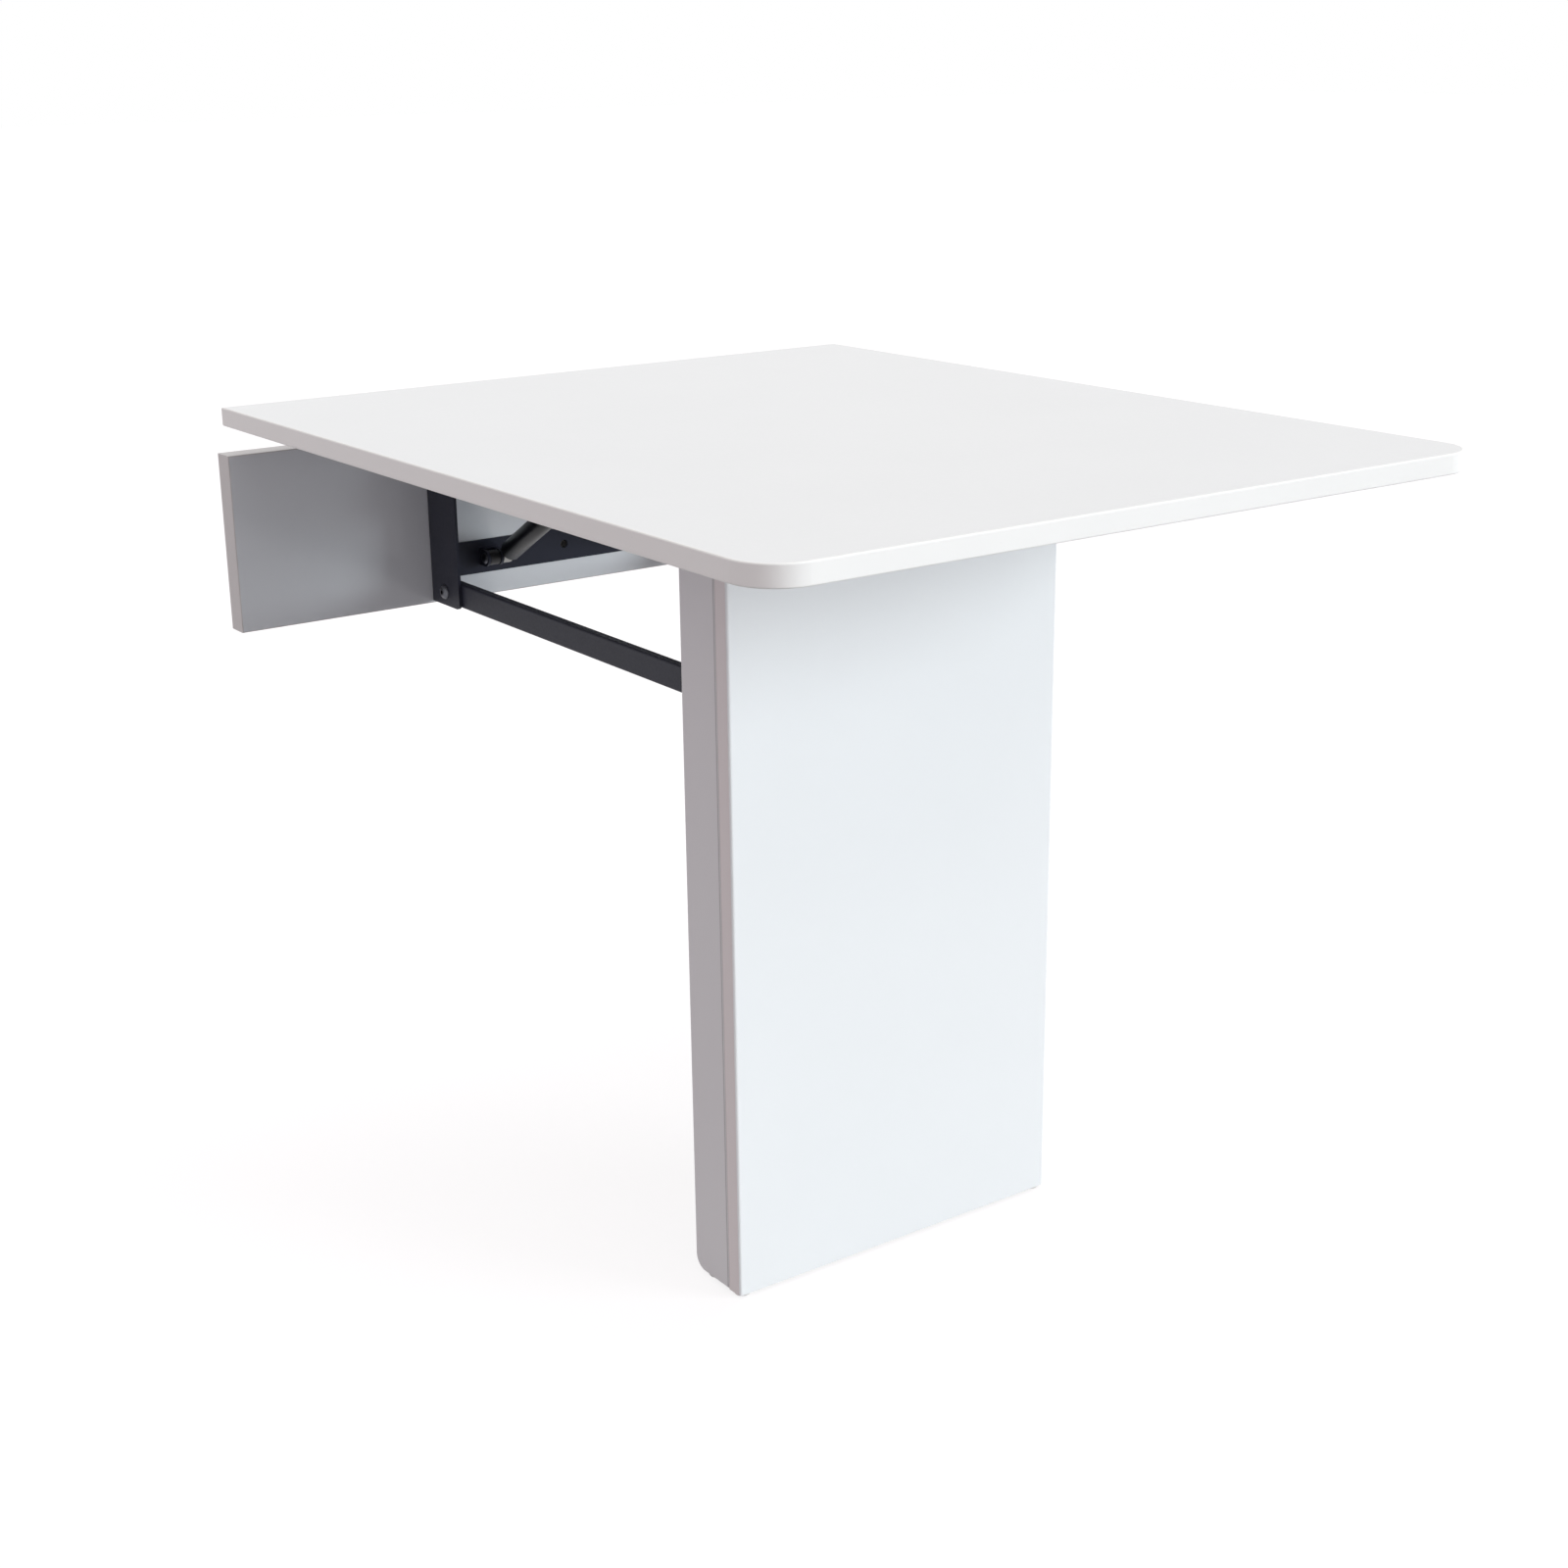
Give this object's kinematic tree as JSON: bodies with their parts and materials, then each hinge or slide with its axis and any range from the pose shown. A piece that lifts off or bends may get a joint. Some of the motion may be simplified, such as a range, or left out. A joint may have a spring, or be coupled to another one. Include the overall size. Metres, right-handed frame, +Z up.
{
  "type": "wall mounted folding table",
  "caption": "Wall table with a flip-up leaf on a steel wall frame, a slab leg kept upright by parallel links, and gas struts.",
  "frame": {"origin": "centre of the rectangle of wall bolts, on the back face of the wall panel", "axes": "+X along the wall to the right seen from the room, +Y into the wall, +Z up"},
  "size_m": [0.74, 0.934, 0.765],
  "materials": {
    "board_white": "satin white melamine-faced board",
    "board_gloss": "glossy white lacquered board",
    "edge_band": "satin white edge banding",
    "black_steel": "satin black powder coat",
    "zinc_steel": "zinc-plated steel",
    "chromed_rod": "ground and chromed rod",
    "black_plastic": "moulded black nylon",
    "white_plastic": "moulded white nylon"
  },
  "bodies": {
    "wall_frame": {"wall_panel": "board_gloss", "wall_panel_edge_band": "edge_band", "upright_left": "black_steel", "upright_right": "black_steel", "cross_plate": "black_steel", "strut_lug_left": "black_steel", "strut_lug_right": "black_steel", "frame_screws": "zinc_steel", "leaf_pivot_bolt_left": "zinc_steel", "leaf_pivot_bolt_right": "zinc_steel", "leaf_pivot_spacer_left": "black_steel", "leaf_pivot_spacer_right": "black_steel", "link_pivot_bolt_left": "zinc_steel", "link_pivot_bolt_right": "zinc_steel", "strut_lower_pin_left": "zinc_steel", "strut_lower_pin_right": "zinc_steel"},
    "leaf": {"table_top": "board_white", "table_edge_band": "edge_band", "leaf_rail_left": "black_steel", "leaf_rail_right": "black_steel", "leaf_rail_screws": "zinc_steel", "strut_bracket_left": "black_steel", "strut_bracket_right": "black_steel", "strut_bracket_screws": "zinc_steel", "strut_upper_pin_left": "zinc_steel", "strut_upper_pin_right": "zinc_steel"},
    "leg": {"leg_front_panel": "board_white", "leg_side_left": "board_white", "leg_side_right": "board_white", "leg_foot_rail": "board_white", "leg_top_batten": "board_white", "leg_pivot_plate_left": "black_steel", "leg_pivot_plate_right": "black_steel", "leg_plate_screws_left": "zinc_steel", "leg_plate_screws_right": "zinc_steel", "leg_hinge_pin_left": "zinc_steel", "leg_hinge_pin_right": "zinc_steel", "link_end_pin_left": "zinc_steel", "link_end_pin_right": "zinc_steel", "leg_glides": "white_plastic"},
    "lower_link_left": {"link_left": "black_steel", "link_bushes_left": "black_plastic", "link_plugs_left": "black_plastic"},
    "strut_tube_left": {"strut_cylinder_left": "black_steel", "strut_lower_eye_left": "black_steel"},
    "strut_piston_left": {"strut_rod_left": "chromed_rod", "strut_upper_eye_left": "black_steel"},
    "lower_link_right": {"link_right": "black_steel", "link_bushes_right": "black_plastic", "link_plugs_right": "black_plastic"},
    "strut_tube_right": {"strut_cylinder_right": "black_steel", "strut_lower_eye_right": "black_steel"},
    "strut_piston_right": {"strut_rod_right": "chromed_rod", "strut_upper_eye_right": "black_steel"}
  },
  "joints": [
    {"name": "leaf_fold", "type": "hinge", "parent": "wall_frame", "child": "leaf", "pos_m": [0, -0.036, 0.098], "axis": [-1, 0, 0], "range_deg": [0, 90]},
    {"name": "leg_swing", "type": "hinge", "parent": "leaf", "child": "leg", "pos_m": [0, -0.54, 0.098], "axis": [-1, 0, 0], "range_deg": [-90, 0]},
    {"name": "link_swing_left", "type": "hinge", "parent": "wall_frame", "child": "lower_link_left", "pos_m": [-0.1505, -0.055, -0.082], "axis": [-1, 0, 0], "range_deg": [0, 90]},
    {"name": "strut_foot_left", "type": "hinge", "parent": "wall_frame", "child": "strut_tube_left", "pos_m": [-0.079, -0.04, -0.057], "axis": [-1, 0, 0], "range_deg": [0, 55.2]},
    {"name": "strut_head_left", "type": "hinge", "parent": "leaf", "child": "strut_piston_left", "pos_m": [-0.079, -0.236, 0.058], "axis": [-1, 0, 0], "range_deg": [-36.8, 0]},
    {"name": "link_swing_right", "type": "hinge", "parent": "wall_frame", "child": "lower_link_right", "pos_m": [0.1505, -0.055, -0.082], "axis": [-1, 0, 0], "range_deg": [0, 90]},
    {"name": "strut_foot_right", "type": "hinge", "parent": "wall_frame", "child": "strut_tube_right", "pos_m": [0.079, -0.04, -0.057], "axis": [-1, 0, 0], "range_deg": [0, 55.2]},
    {"name": "strut_head_right", "type": "hinge", "parent": "leaf", "child": "strut_piston_right", "pos_m": [0.079, -0.236, 0.058], "axis": [-1, 0, 0], "range_deg": [-36.8, 0]}
  ],
  "couplings": [
    {"joint": "leg_swing", "follows": "leaf_fold", "ratio": -1},
    {"joint": "link_swing_left", "follows": "leaf_fold", "ratio": 1},
    {"joint": "strut_foot_left", "follows": "leaf_fold", "ratio": 0.613},
    {"joint": "strut_head_left", "follows": "leaf_fold", "ratio": -0.408},
    {"joint": "link_swing_right", "follows": "leaf_fold", "ratio": 1},
    {"joint": "strut_foot_right", "follows": "leaf_fold", "ratio": 0.613},
    {"joint": "strut_head_right", "follows": "leaf_fold", "ratio": -0.408}
  ]
}
